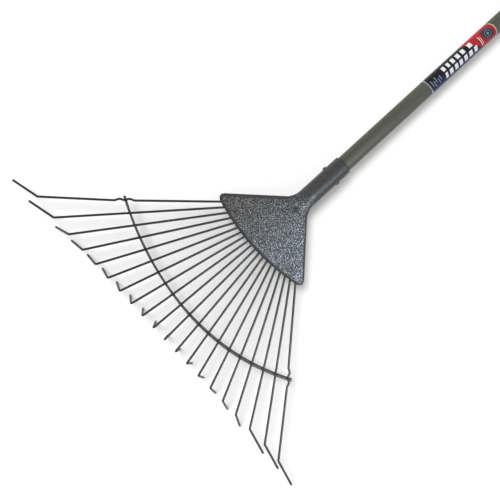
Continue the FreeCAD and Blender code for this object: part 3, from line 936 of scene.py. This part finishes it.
def whole_sleeve(u, v):
    arc = arc_at(v)
    return LABEL_START + (label_end(arc) - LABEL_START) * u, arc


def red_zone(u, v):
    """The sleeve's upper part, with a slanting lower edge."""
    arc = arc_at(v)
    start = RED_START - min(max(arc, -RED_SLANT), RED_SLANT)
    end = label_end(arc) - EDGE_LINE
    return start + (end - start) * u, arc


def edge_line(u, v):
    """A line round the upper end, which laps over the red zone."""
    arc = arc_at(v)
    return label_end(arc) - EDGE_GAP - EDGE_LINE * (1 - u), arc


def foot_line(u, v):
    return LABEL_START + FOOT_GAP + FOOT_LINE * u, arc_at(v)


def block(near, far, low, high, slant=0.0):
    """Outline of a plain rectangular or slanted mark."""
    return lambda u, v: (near + (far - near) * u + slant * v, low + (high - low) * v)


def bent_band(start, width, low, high):
    """Outline of a slightly curved band across the handle."""
    def place(u, v):
        arc = low + (high - low) * v
        return start + BAND_RISE * math.sqrt(max(0, 1 - (arc / BAND_ROUND) ** 2)) + width * u, arc
    return place


def oval(low, high):
    """Outline of an oval ring, or of a disc when it starts close to its centre."""
    def place(u, v):
        angle = 2 * math.pi * v
        radius = low + (high - low) * u
        return EMBLEM_PLACE + radius * math.cos(angle), radius * EMBLEM_SHAPE * math.sin(angle)
    return place


def make_sleeve():
    """The film round the handle."""
    sleeve = Wrap()
    sleeve.patch(whole_sleeve, FILM, 0, 60, 121)
    base = sleeve.finish("label_film", [printed_ground()])
    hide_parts("handle_label")


def make_print():
    """Plain zones, blocks, bars and rings in place of the film's print."""
    inks = [
        film("label_red", (0.37, 0.017, 0.026)),
        film("label_white", (0.72, 0.72, 0.72)),
        film("label_silver", (0.45, 0.46, 0.48), 0.22, 0.8),
        film("label_grey_blue", (0.16, 0.19, 0.25)),
        film("label_cream", (0.62, 0.58, 0.42)),
        film("label_dark", (0.008, 0.012, 0.014)),
    ]
    red, white, silver, grey_blue, cream, dark = range(len(inks))
    marks = Wrap()
    marks.patch(red_zone, ZONE, red, 20, 121)
    marks.patch(edge_line, ZONE, cream, 2, 121)
    marks.patch(foot_line, ZONE, silver, 2, 121)
    for near, far in UPPER_BLOCKS:
        marks.patch(block(near, far, *UPPER_ARCS), MARK, white, 6, 8)
    for near, far in LOWER_BLOCKS:
        marks.patch(block(near, far, *LOWER_ARCS, LOWER_SLANT), MARK, white, 6, 8)
    for near, low, high in FOOT_BARS:
        marks.patch(block(near, near + BAR_WIDTH, low, high), BAR, grey_blue, 3, 12)
    marks.patch(bent_band(*WHITE_BAND), MARK, white, 2, 24)
    marks.patch(bent_band(*CREAM_BAND), MARK, cream, 2, 24)
    marks.patch(oval(0.01, 10.3), MARK, dark, 8, 49)
    marks.patch(oval(8.2, 8.8), TOP_MARK, grey_blue, 2, 49)
    marks.patch(oval(4.6, 5.6), TOP_MARK, grey_blue, 2, 49)
    marks.patch(oval(0.01, 2.2), TOP_MARK, grey_blue, 4, 25)
    print_piece = marks.finish("label_print", inks)


# ---------------------------------------------------------------- scene

def assign(nodes, material):
    for name in nodes:
        mesh = frame["nodes"][name].data
        mesh.materials.clear()
        mesh.materials.append(material)


def make_floor():
    """Plain pale floor under the rake's lowest point."""
    material = bpy.data.materials.new("studio_floor")
    material.use_nodes = True
    surface = material.node_tree.nodes["Principled BSDF"]
    surface.inputs["Base Color"].default_value = (0.93, 0.93, 0.93, 1)
    surface.inputs["Roughness"].default_value = 1.0
    surface.inputs["Specular IOR Level"].default_value = 0.0
    bpy.ops.mesh.primitive_plane_add(size=30, location=(0, 0, cad_bounds[0].z))
    floor = bpy.context.object
    floor.name = "floor"
    floor.data.materials.append(material)


def aim(obj, position, target, roll=0.0):
    """Point an object's -Z at a target, both in the tool's frame, and roll it from the tool's +X."""
    back = unit(np.array(position, float) - np.array(target, float))
    along = np.array([1.0, 0.0, 0.0])
    level = unit(along - back * (along @ back))
    other = np.cross(back, level)
    right = level * math.cos(roll) - other * math.sin(roll)
    up = np.cross(back, right)
    turn = REST.to_3x3().normalized()
    columns = [turn @ Vector(direction) for direction in (right, up, back)]
    matrix = Matrix(columns).transposed().to_4x4()
    matrix.translation = REST @ Vector(position)
    obj.matrix_world = matrix


def make_camera():
    data = bpy.data.cameras.new("camera")
    data.sensor_width = 36
    data.lens = LENS
    data.clip_end = 50
    camera = bpy.data.objects.new("camera", data)
    bpy.context.scene.collection.objects.link(camera)
    aim(camera, CAMERA_PLACE, CAMERA_TARGET, roll=math.radians(CAMERA_ROLL))
    bpy.context.scene.camera = camera


def add_light(name, kind, source, target, **settings):
    """A light in the tool's frame; its settings are those of the light's data."""
    data = bpy.data.lights.new(name, kind)
    for key, value in settings.items():
        setattr(data, key, value)
    light = bpy.data.objects.new(name, data)
    bpy.context.scene.collection.objects.link(light)
    aim(light, source, target)
    return light


def make_room():
    """An even white room all round."""
    room = bpy.data.worlds.new("studio")
    room.use_nodes = True
    background = room.node_tree.nodes["Background"]
    background.inputs["Color"].default_value = (1.0, 1.0, 1.0, 1)
    background.inputs["Strength"].default_value = ROOM
    return room


def make_lights():
    """A soft sun from tine 1's side, an even white room, and two boxes that only gloss sees."""
    scene = bpy.context.scene
    scene.view_settings.view_transform = "Standard"
    scene.world = make_room()
    key = add_light("key", "SUN", KEY_PLACE, (0, 0, 0), energy=KEY, angle=math.radians(KEY_ANGLE))
    key.visible_glossy = False
    for name, place, target, power, width in BOXES:
        box = add_light(name, "AREA", place, target, energy=power, shape="SQUARE", size=width)
        box.data.color = BOX_TINT
        box.visible_diffuse = False
        box.visible_camera = False


hammertone = hammertone_paint("hammertone", "3D")
pressing = make_pressing(hammertone_paint("sheet_hammertone", "sheet"))
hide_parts("head_top_plate")
rivet_paint = hammertone_paint("rivet_hammertone", "2D")
for rivet, place in head_rivets().items():
    make_head_rivet(rivet, place, rivet_paint)
make_sleeve()
make_print()

tine_paint = wire_paint("tine_paint", (0.013, 0.0135, 0.014))
assign([name for name in frame["nodes"] if name.startswith("tine_")], tine_paint)
# The brace's paint darkens where the tines cross it: painted shade.
assign(["brace_top", "brace_bottom"], wire_paint("brace_paint", (0.044, 0.044, 0.046), shaded_crossings=True))
assign(["head_bottom_plate", "socket_rivet"], hammertone)
assign(["handle_shaft"], stained_wood())
make_floor()
make_camera()
make_lights()
